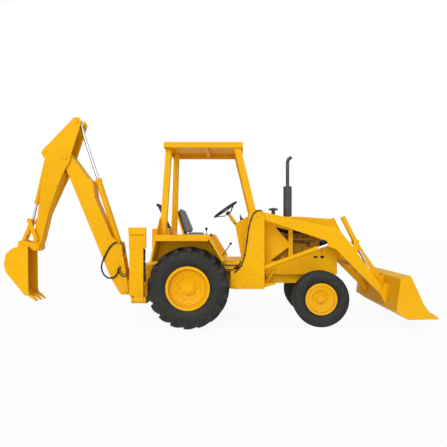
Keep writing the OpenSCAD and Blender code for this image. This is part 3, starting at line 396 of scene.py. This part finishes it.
# Two smaller hoses looped beside the boom's foot, and one along its front edge
LOOP_D, INNER_D = 18, 14
outer_loop = [(-1272, 905), (-1278, 870), (-1277, 835), (-1266, 800), (-1246, 768), (-1218, 746),
              (-1185, 737), (-1152, 742), (-1124, 760), (-1104, 788), (-1096, 820), (-1101, 844),
              (-1109, 864)]
inner_loop = [(-1246, 905), (-1252, 872), (-1250, 840), (-1238, 808), (-1216, 784), (-1186, 774),
              (-1156, 782), (-1134, 804), (-1126, 836), (-1132, 868), (-1142, 895)]
edge_hose = [(-1268, 1316), (-1240, 1302), (-1214, 1276), (-1194, 1240), (-1182, 1198), (-1180, 1154),
             (-1188, 1112), (-1204, 1076)]
boom_cord("foot_hose_outer", outer_loop, LOOP_D)
boom_cord("foot_hose_inner", inner_loop, INNER_D)
boom_cord("edge_hose_line", edge_hose, LOOP_D)


# Seat: a cushion and a back, swelled as cloth, with sewn channels and a welt
PAD_SWELL = 0.008
PAD_VOXEL = 0.008
PAD_PRESSURE = 4
PAD_FRAMES = 20
PAD_CUTS = 23
SEWN_SHARE = 0.84
SEWN_DEPTH, SEWN_WIDTH = 0.009, 0.007
WELT_STEPS, WELT_LEVEL, WELT_SUNK = 120, 0.42, 0.0012


def settled(piece):
    graph = bpy.context.evaluated_depsgraph_get()
    return bpy.data.meshes.new_from_object(piece.evaluated_get(graph))


def pad_form(name, size, taper):
    box = bmesh.new()
    bmesh.ops.create_cube(box, size=2)
    bmesh.ops.subdivide_edges(box, edges=box.edges[:], cuts=PAD_CUTS, use_grid_fill=True)
    a, b, c = (v / 2 - PAD_SWELL * 0.8 for v in size)
    for vert in box.verts:
        u, v, w = vert.co
        x = u * math.sqrt(1 - 0.12 * v * v / 2 - 0.30 * w * w / 2)
        y = v * math.sqrt(1 - 0.12 * u * u / 2 - 0.30 * w * w / 2)
        z = w * math.sqrt(1 - 0.35 * u ** 6 / 2 - 0.35 * v ** 6 / 2)
        vert.co = Vector((x * a, y * b, z * c * (1 - taper * x)))
    mesh = bpy.data.meshes.new(name)
    bmesh.ops.recalc_face_normals(box, faces=box.faces)
    box.to_mesh(mesh)
    box.free()
    return mesh


def swelled(mesh):
    scene = bpy.context.scene
    piece = bpy.data.objects.new("pad_form", mesh)
    scene.collection.objects.link(piece)
    even = piece.modifiers.new("even", "REMESH")
    even.mode = "VOXEL"
    even.voxel_size = PAD_VOXEL
    piece.data = settled(piece)
    piece.modifiers.clear()
    cloth = piece.modifiers.new("cloth", "CLOTH")
    cloth.settings.use_pressure = True
    cloth.settings.uniform_pressure_force = PAD_PRESSURE
    cloth.settings.effector_weights.gravity = 0
    for number in range(1, PAD_FRAMES + 1):
        scene.frame_set(number)
    full = settled(piece)
    piece.modifiers.clear()
    for vert, moved in zip(piece.data.vertices, full.vertices):
        move = moved.co - vert.co
        vert.co += move * min(1.0, PAD_SWELL / max(move.length, 1e-6))
    scene.frame_set(1)
    smooth = piece.modifiers.new("smooth", "SUBSURF")
    smooth.levels = 1
    done = settled(piece)
    bpy.data.objects.remove(piece)
    return done


def pillow(name, node, size, place, taper, channels):
    mesh = swelled(pad_form(name, size, taper))
    a, b, c = (v / 2 for v in size)
    for vert in mesh.vertices:
        x, y, z = vert.co
        if z > 0 and abs(x) < SEWN_SHARE * a:
            gap = 1.7 * b / channels
            far = abs((y / gap + 0.5 * (channels % 2)) % 1.0 - 0.5) * gap
            side = abs(gap / 2 - far)
            edge = min(1.0, (SEWN_SHARE * a - abs(x)) / 0.02) * (1 if abs(y) < 0.9 * b else 0)
            z -= SEWN_DEPTH * edge * math.exp(-(side / SEWN_WIDTH) ** 2) * min(1.0, z / (0.6 * c))
        vert.co = (x, y, max(z, -c * (1 - taper * x / a)))
    tree = BVHTree.FromPolygons([v.co for v in mesh.vertices], [p.vertices for p in mesh.polygons])
    loop = []
    for k in range(WELT_STEPS):
        angle = 2 * math.pi * k / WELT_STEPS
        way = Vector((a * math.cos(angle), b * math.sin(angle), 0)).normalized()
        level = Vector((0, 0, WELT_LEVEL * c * (1 - taper * way.x)))
        hit = tree.ray_cast(level + way * 2, -way)[0]
        loop.append(place @ (hit - way * WELT_SUNK))
    mesh.transform(place)
    piece = add_piece(name, mesh, SEAT, "chassis")
    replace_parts(piece, node)
    return loop


cushion_place = Matrix.Translation(at(37, 1430))
cushion_welt = pillow("seat_pad", "seat_cushion", (0.288, 0.476, 0.118), cushion_place, 0.0, 6)
lean = Vector((-145, 0, 406)).normalized()
front = Vector((lean.z, 0, -lean.x))
back_turn = Matrix((lean, (0, 1, 0), front)).transposed().to_4x4()
back_place = Matrix.Translation(at(-149, 1689)) @ back_turn
back_welt = pillow("seat_rest", "seat_back", (0.446, 0.446, 0.102), back_place, 0.27, 6)


# Small turned and swept pieces
def frame_of(axis):
    along = Vector(axis).normalized()
    return along.to_track_quat("Z", "Y").to_matrix()


def turned(profile, base, axis, turns=20):
    spin = frame_of(axis)
    points, faces = [], []
    count = len(profile)
    for k in range(turns):
        angle = 2 * math.pi * k / turns
        for r, h in profile:
            points.append(base + spin @ Vector((r * math.cos(angle), r * math.sin(angle), h)) / 1000)
    for k in range(turns):
        n = (k + 1) % turns
        for i in range(count - 1):
            faces.append((k * count + i, n * count + i, n * count + i + 1, k * count + i + 1))
    faces.append(tuple(k * count for k in reversed(range(turns))))
    faces.append(tuple(k * count + count - 1 for k in range(turns)))
    return points, faces


def ring(profile, base, axis, turns):
    points, faces = turned(profile, base, axis, turns)
    count = len(profile)
    band = faces[:-2]
    for k in range(turns):
        n = (k + 1) % turns
        band.append((k * count + count - 1, n * count + count - 1, n * count, k * count))
    return points, band


def ball(d, neck):
    r = d / 2
    return [(neck, -r * 1.15)] + [(r * math.sin(math.radians(a)), -r * math.cos(math.radians(a)))
                                  for a in range(25, 179, 12)]


def swept(route, d, turns=10):
    points, faces = [], []
    last = len(route) - 1
    for i, place in enumerate(route):
        run = route[min(i + 1, last)] - route[max(i - 1, 0)]
        spin = frame_of(run)
        for k in range(turns):
            angle = 2 * math.pi * k / turns
            points.append(place + spin @ Vector((math.cos(angle), math.sin(angle), 0)) * d / 2000)
    for i in range(last):
        for k in range(turns):
            n = (k + 1) % turns
            faces.append((i * turns + k, i * turns + n, (i + 1) * turns + n, (i + 1) * turns + k))
    faces.append(tuple(reversed(range(turns))))
    faces.append(tuple(last * turns + k for k in range(turns)))
    return points, faces


def curved(points, steps=6):
    out = []
    ends = [points[0]] + list(points) + [points[-1]]
    for i in range(1, len(ends) - 2):
        a, b, c, d = ends[i - 1:i + 3]
        for step in range(steps):
            t = step / steps
            out.append(0.5 * (2 * b + (c - a) * t + (2 * a - 5 * b + 4 * c - d) * t * t
                              + (3 * b - a - 3 * c + d) * t ** 3))
    out.append(points[-1])
    return out


def joined(shapes):
    points, faces = [], []
    for more_points, more_faces in shapes:
        first = len(points)
        points += more_points
        faces += [tuple(first + i for i in face) for face in more_faces]
    return points, faces


def soft_box(low, high, round_by):
    box = bmesh.new()
    bmesh.ops.create_cube(box, size=1)
    size = high - low
    for vert in box.verts:
        vert.co = Vector((low.x + (vert.co.x + 0.5) * size.x, low.y + (vert.co.y + 0.5) * size.y,
                          low.z + (vert.co.z + 0.5) * size.z))
    bmesh.ops.bevel(box, geom=box.edges[:], offset=round_by / 1000, segments=3, profile=0.5, affect="EDGES")
    box.verts.index_update()
    points = [vert.co.copy() for vert in box.verts]
    faces = [tuple(vert.index for vert in face.verts) for face in box.faces]
    box.free()
    return points, faces


def piece_of(name, shapes, look, body):
    points, faces = joined(shapes)
    return add_piece(name, mesh_of(name, points, faces), look, body)


# Welt sewn round the seat's cushion and back
welts = [swept(loop + loop[:2], 8, 8) for loop in (cushion_welt, back_welt)]
piece_of("seat_welts", welts, WELT, "chassis")

# Black sleeves and knobs on the four digging levers
lever_lean = math.radians(25)
lever_axis = Vector((-math.sin(lever_lean), 0, math.cos(lever_lean)))
sleeves, knobs = [], []
for y in (-120, -40, 40, 120):
    foot = at(-427, 1559, y)
    sleeves.append(turned([(15, 10), (13, 26), (7.9, 44), (7.9, 425)], foot, lever_axis, 16))
    knobs.append(turned(ball(48, 9), foot + lever_axis * 0.440, lever_axis))
piece_of("hoe_lever_sleeves", sleeves, BLACK, "chassis")
piece_of("hoe_lever_knobs", knobs, BLACK, "chassis")

# Loader control box on the right fender's inner wall, with two levers
control_box = soft_box(at(225, 1325, -500), at(350, 1412, -436), 8)
piece_of("loader_control_box", [control_box], YELLOW, "chassis")
STALK_Y = -468
knob_ends = [(262, 250, 1546), (318, 326, 1448)]
stalks, knobs = [], []
for foot_x, top_x, top_z in knob_ends:
    foot, top = at(foot_x, 1408, STALK_Y), at(top_x, top_z, STALK_Y)
    stalks.append(swept([foot, foot.lerp(top, 0.5), top], 13))
    stalks.append(turned([(24, 0), (22, 8), (12, 22), (8, 34)], at(foot_x, 1410, STALK_Y), top - foot))
    knobs.append(turned(ball(46, 9), top, top - foot))
piece_of("loader_lever_stalks", stalks, BLACK, "chassis")
piece_of("loader_lever_knobs", knobs, BLACK, "chassis")

# Throttle lever and boot on the cowl, and the dials the operator reads
COWL_X, COWL_Z = 712, 1636
COWL_RUN, COWL_RISE = 258, 143
DIAL_X = 880
slope = Vector((COWL_RUN, 0, COWL_RISE)).normalized()
face_up = Vector((-slope.z, 0, slope.x))


def on_cowl(x, y, lift=0.0):
    return at(x, COWL_Z + (x - COWL_X) * COWL_RISE / COWL_RUN, y) + face_up * lift / 1000


boot = turned([(34, -12), (33, 8), (25, 24), (28, 30), (17, 46), (14, 74), (9, 92), (4, 96)],
              on_cowl(826, -60), Vector((-0.3, 0, 0.95)))
piece_of("throttle_lever", [boot], BLACK, "chassis")
bezels, dials, needles = [], [], []
for y, r in ((-150, 34), (-40, 34), (70, 34), (160, 26)):
    middle = on_cowl(DIAL_X, y)
    bezel = [(r + 5, -2), (r + 5, 10), (r + 2, 14), (r - 1, 14), (r - 1, 7)]
    bezels.append(turned(bezel, middle, face_up))
    dials.append(turned([(r - 1, 0), (r - 1, 7.5), (r * 0.5, 7.6)], middle, face_up))
    tip = Vector((slope.x * 0.8, 0.6, slope.z * 0.8)).normalized() * (r - 8) / 1000
    hub = on_cowl(DIAL_X, y, 9.5)
    needles.append(swept([hub - tip * 0.25, hub + tip], 2.6, 6))
piece_of("dial_bezels", bezels, CHROME, "chassis")
piece_of("dial_faces", dials, BLACK, "chassis")
piece_of("dial_needles", needles, YELLOW, "chassis")

# Column sleeve from the steering wheel's hub to the cowl
tilt = math.radians(34.8)
column_axis = Vector((-math.sin(tilt), 0, math.cos(tilt)))
hub_place = at(544, 1887)
sleeve = turned([(24, 0), (31, 4), (31, 130), (27, 138), (27, 178), (23.3, 184)],
                hub_place - column_axis * 0.285, column_axis, 28)
piece_of("column_sleeve", [sleeve], YELLOW, "chassis")

# Steering wheel with its hub set below the rim and three bent spokes
WHEEL_D, RIM_D = 490, 30
RIM_R = (WHEEL_D - RIM_D) / 2
rim_turns = [math.pi * k / 8 for k in range(16)]
grip = [(RIM_R + RIM_D / 2 * math.cos(turn), RIM_D / 2 * math.sin(turn)) for turn in rim_turns]
wheel = [ring(grip, hub_place, column_axis, 64)]
wheel.append(turned([(23, -340), (23, -103), (36, -99), (40, -88), (38, -62), (30, -52), (18, -48)],
                    hub_place, column_axis, 28))
wheel_ahead = Vector((math.cos(tilt), 0, math.sin(tilt)))
for angle in (44, 180, 316):
    turn = math.radians(angle)
    way = wheel_ahead * math.cos(turn) + Vector((0, math.sin(turn), 0))
    bend = [hub_place + (way * r + column_axis * h) / 1000
            for r, h in ((24, -84), (64, -88), (98, -74), (RIM_R - 4, -5))]
    wheel.append(swept(curved(bend), 15, 12))
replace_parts(piece_of("dished_wheel", wheel, BLACK, "chassis"), "steering_wheel")


# Hex bolts with washers
def bolt(place, axis, size):
    washer = turned([(size, -1), (size, 2.5), (size * 0.9, 3.2)], place, axis, 18)
    head = turned([(size * 0.72, 2), (size * 0.72, size * 0.55), (size * 0.6, size * 0.66)], place, axis, 6)
    return joined([washer, head])


OUT_R, OUT_L = Vector((0, -1, 0)), Vector((0, 1, 0))
chassis_bolts = []
for out, side in ((OUT_R, -1), (OUT_L, 1)):
    for x, z in ((730, 620), (730, 720), (730, 840), (850, 620), (1000, 620), (1150, 620), (1150, 760),
                 (1150, 1000), (1150, 1240), (900, 1200), (930, 1420)):
        chassis_bolts.append(bolt(at(x, z, side * TOWER_Y), out, 15))
    for x in (-440, -240, -40, 160, 280):
        chassis_bolts.append(bolt(at(x, 1404, side * 930), out, 12))
    for x in (1240, 1360, 1480):
        chassis_bolts.append(bolt(at(x, 830, side * PANEL_Y), out, 12))
    for x, z in ((1650, 1100), (1650, 1300), (1650, 1480), (2350, 830), (2350, 1000)):
        chassis_bolts.append(bolt(at(x, z, side * PANEL_Y), out, 12))
piece_of("body_bolts", chassis_bolts, YELLOW, "chassis")

# Radiator hoses, fuel lines and leads in the open engine bay
upper_hose = curved([at(2078, 1440, -40), at(2130, 1470, -45), at(2190, 1520, -50), at(2230, 1565, -50),
                     at(2266, 1580, -50)])
lower_hose = curved([at(2118, 900, -110), at(2160, 880, -120), at(2210, 870, -120), at(2272, 880, -120)])
piece_of("radiator_hoses", [swept(upper_hose, 52, 16), swept(lower_hose, 52, 16)], HOSE, "chassis")
fuel_lines = []
for k, x in enumerate((1450, 1630, 1810, 1990)):
    fuel_lines.append(swept(curved([at(1950, 1238, -225 - k), at(1950, 1290 + 6 * k, -232 - 2 * k),
                                    at((1950 + x) / 2, 1335 + 8 * k, -228), at(x, 1345, -226),
                                    at(x, 1400, -172)]), 9, 8))
piece_of("fuel_lines", fuel_lines, BLACK, "chassis")

# Dark sheet along the engine's middle, painted shade that closes the open bay, and the seam of each side
# panel
bay_shade_sheets = [soft_box(at(1440, 1458, -4), at(1676, 1481, 4), 1.5),
          soft_box(at(1690, 1458, -4), at(2190, 1610, 4), 1.5)]
piece_of("bay_shade_sheet", bay_shade_sheets, BLACK, "chassis")
seams = []
for side in (-1, 1):
    proud = sorted((side * (PANEL_Y - 1), side * (PANEL_Y + 1)))
    seams.append(soft_box(at(2154, 1100, proud[0]), at(2160, 1340, proud[1]), 0.8))
piece_of("panel_seams", seams, BLACK, "chassis")

# Hose clips along the tower
clip_route = [(815, 960), (870, 1130), (905, 1350), (935, 1560)]
clips = [soft_box(at(x - 18, z - 9, -TOWER_Y - 24), at(x + 18, z + 9, 0.5 - TOWER_Y), 4)
         for x, z in clip_route]
piece_of("hose_clips", clips, BLACK, "chassis")

# Skirt under the platform and the lower edge of the tower, with two hydraulic lines along it
for side, hand in HANDS:
    spans = sorted((side * (SKIRT_Y - 6), side * SKIRT_Y))
    skirt = [soft_box(at(430, 868, spans[0]), at(690, 1019, spans[1]), 2),
             soft_box(at(688, 930, spans[0]), at(728, 1019, spans[1]), 2),
             soft_box(at(726, 962, spans[0]), at(775, 1019, spans[1]), 2),
             soft_box(at(773, 990, spans[0]), at(797, 1019, spans[1]), 2)]
    flush = sorted((side * (TOWER_Y - 19), side * (TOWER_Y - 0.5)))
    skirt.append(soft_box(at(646, 603, flush[0]), at(691, 872, flush[1]), 3))
    ledge = sorted((side * 480, side * SKIRT_Y))
    skirt.append(soft_box(at(430, 1011, ledge[0]), at(690, 1019.4, ledge[1]), 2))
    piece_of("platform_skirt_" + hand, skirt, YELLOW, "chassis")
line_y = -535.4
frame_routes = (((455, 966), (540, 964), (640, 961), (752, 962)),
                ((455, 898), (560, 893), (640, 888), (688, 880)))
frame_lines = [swept(curved([at(x, z, line_y) for x, z in route]), 18, 12) for route in frame_routes]
piece_of("frame_lines", frame_lines, HOSE, "chassis")

# Hose clipped to the arm of each stabilizer
for side, hand in HANDS:
    y = side * 800
    places = ((-674, 1236), (-674, 1130), (-674, 1010), (-672, 900), (-668, 800), (-664, 720))
    route = curved([at(x, z, y) for x, z in places])
    grips = [soft_box(at(-689, z - 11, y - 20), at(-657, z + 11, y + 20), 4) for z in (1190, 1000, 830)]
    piece_of("stabilizer_hose_" + hand, [swept(route, 27, 14)] + grips, HOSE, hand + "_stabilizer")

# Stepped rings and a ring of studs on the rear wheels' discs
STUD_COUNT, STUD_R = 8, 212
for side, hand in HANDS:
    out = Vector((0, side, 0))
    hub = at(0, REAR_R, side * REAR_Y)
    rings = [ring([(236, 76), (240, 88), (247, 93), (262, 95), (270, 92), (274, 83)], hub, out, 72),
             ring([(166, 46), (169, 58), (175, 61), (184, 62), (189, 58)], hub, out, 64)]
    studs = []
    for k in range(STUD_COUNT):
        angle = 2 * math.pi * (k + 0.5) / STUD_COUNT
        place = hub + Vector((STUD_R * math.cos(angle), side * 66, STUD_R * math.sin(angle))) / 1000
        studs.append(bolt(place, out, 15))
    piece_of("rear_disc_rings_" + hand, rings + studs, YELLOW, "rear_%s_wheel" % hand)

# Step ring on the front wheels' discs
for side, hand in HANDS:
    out = Vector((0, side, 0))
    hub = at(FRONT_X, FRONT_R, side * FRONT_Y)
    step_ring = ring([(186, 91), (189, 101), (194, 105), (204, 105), (208, 101), (210, 92)], hub, out, 64)
    piece_of("front_disc_ring_" + hand, [step_ring], YELLOW, "front_%s_wheel" % hand)


# Shelf in front of each tower's foot, with a slanting brace from it to the side panel
def slab(outline, y0, y1):
    count = len(outline)
    points = [at(x, z, y) for y in (y0, y1) for x, z in outline]
    faces = [tuple(range(count)), tuple(count + i for i in reversed(range(count)))]
    for i in range(count):
        n = (i + 1) % count
        faces.append((i, n, count + n, count + i))
    return points, faces


shelf_outline = [(1180, 592), (1180, 664), (1376, 664), (1382, 656), (1374, 641)]
brace_foot, brace_top = Vector((1238, 660)), Vector((1378, 878))
brace_along = (brace_top - brace_foot).normalized()
brace_across = Vector((brace_along.y, -brace_along.x)) * 24
brace_tip = brace_top + brace_along * 16
brace_outline = [brace_foot - brace_across, brace_top - brace_across, brace_tip - brace_across * 0.4,
                 brace_tip + brace_across * 0.4, brace_top + brace_across, brace_foot + brace_across]
BRACE_Y = 312
for side, hand in HANDS:
    out = Vector((0, side, 0))
    brace = [slab(shelf_outline, side * (PANEL_Y + 4), side * 460),
             slab(brace_outline, side * (PANEL_Y - 0.5), side * BRACE_Y)]
    for spot in (brace_foot + brace_along * 34, brace_top - brace_along * 10):
        brace.append(bolt(at(spot.x, spot.y, side * BRACE_Y), out, 14))
    piece_of("loader_brace_" + hand, brace, YELLOW, "chassis")

# Bolts that hold the loader bucket's cutting edge
edge_bolts = []
for k in range(9):
    y = -960 + 240 * k
    edge_bolts.append(turned([(17, -2), (17, 3), (10, 6)], at(3640, 218, y), (0, 0, 1), 14))
piece_of("edge_bolts", edge_bolts, BOLT, "front_bucket")


# Floor, light and background
def ray_kind(tree):
    path = tree.nodes.new("ShaderNodeLightPath")
    total = tree.nodes.new("ShaderNodeMath")
    total.operation = "ADD"
    total.use_clamp = True
    tree.links.new(path.outputs["Is Camera Ray"], total.inputs[0])
    tree.links.new(path.outputs["Is Glossy Ray"], total.inputs[1])
    more = tree.nodes.new("ShaderNodeMath")
    more.operation = "ADD"
    more.use_clamp = True
    tree.links.new(total.outputs[0], more.inputs[0])
    tree.links.new(path.outputs["Is Transmission Ray"], more.inputs[1])
    return more.outputs[0]


WORLD_LIGHT = 0.57
FLOOR_COLOUR, FLOOR_GLOW, FLOOR_HALF = (0.9, 0.9, 0.9), 0.93, 60
world = bpy.data.worlds.new("studio")
bpy.context.scene.world = world
world.use_nodes = True
tree = world.node_tree
soft = tree.nodes["Background"]
soft.inputs["Color"].default_value = (1, 1, 1, 1)
soft.inputs["Strength"].default_value = WORLD_LIGHT
white = tree.nodes.new("ShaderNodeBackground")
white.inputs["Strength"].default_value = 1.0
white.inputs["Color"].default_value = (1, 1, 1, 1)
choose = tree.nodes.new("ShaderNodeMixShader")
tree.links.new(ray_kind(tree), choose.inputs["Fac"])
tree.links.new(soft.outputs[0], choose.inputs[1])
tree.links.new(white.outputs[0], choose.inputs[2])
tree.links.new(choose.outputs[0], tree.nodes["World Output"].inputs["Surface"])

floor_corners = [(x * FLOOR_HALF, y * FLOOR_HALF, 0) for x, y in ((-1, -1), (1, -1), (1, 1), (-1, 1))]
floor_mesh = mesh_of("floor", floor_corners, [(0, 1, 2, 3)])
floor = bpy.data.objects.new("floor", floor_mesh)
bpy.context.scene.collection.objects.link(floor)
floor_look = bpy.data.materials.new("pale_floor")
floor_look.use_nodes = True
tree = floor_look.node_tree
matte = tree.nodes["Principled BSDF"]
matte.inputs["Base Color"].default_value = (*FLOOR_COLOUR, 1)
matte.inputs["Roughness"].default_value = 0.9
glow = tree.nodes.new("ShaderNodeEmission")
share = tree.nodes.new("ShaderNodeMath")
share.operation = "MULTIPLY"
share.inputs[1].default_value = FLOOR_GLOW
tree.links.new(ray_kind(tree), share.inputs[0])
blend = tree.nodes.new("ShaderNodeMixShader")
tree.links.new(share.outputs[0], blend.inputs["Fac"])
tree.links.new(matte.outputs[0], blend.inputs[1])
tree.links.new(glow.outputs[0], blend.inputs[2])
tree.links.new(blend.outputs[0], tree.nodes["Material Output"].inputs["Surface"])
floor.data.materials.append(floor_look)


def sun(name, azimuth, elevation, strength, spread):
    data = bpy.data.lights.new(name, "SUN")
    data.energy = strength
    data.angle = math.radians(spread)
    obj = bpy.data.objects.new(name, data)
    bpy.context.scene.collection.objects.link(obj)
    rise, turn = math.radians(elevation), math.radians(azimuth)
    towards = Vector((math.cos(rise) * math.sin(turn), -math.cos(rise) * math.cos(turn), math.sin(rise)))
    obj.rotation_euler = towards.to_track_quat("Z", "Y").to_euler()


sun("key", -18, 44, 0.98, 28)
sun("fill", -4, 14, 0.9, 50)
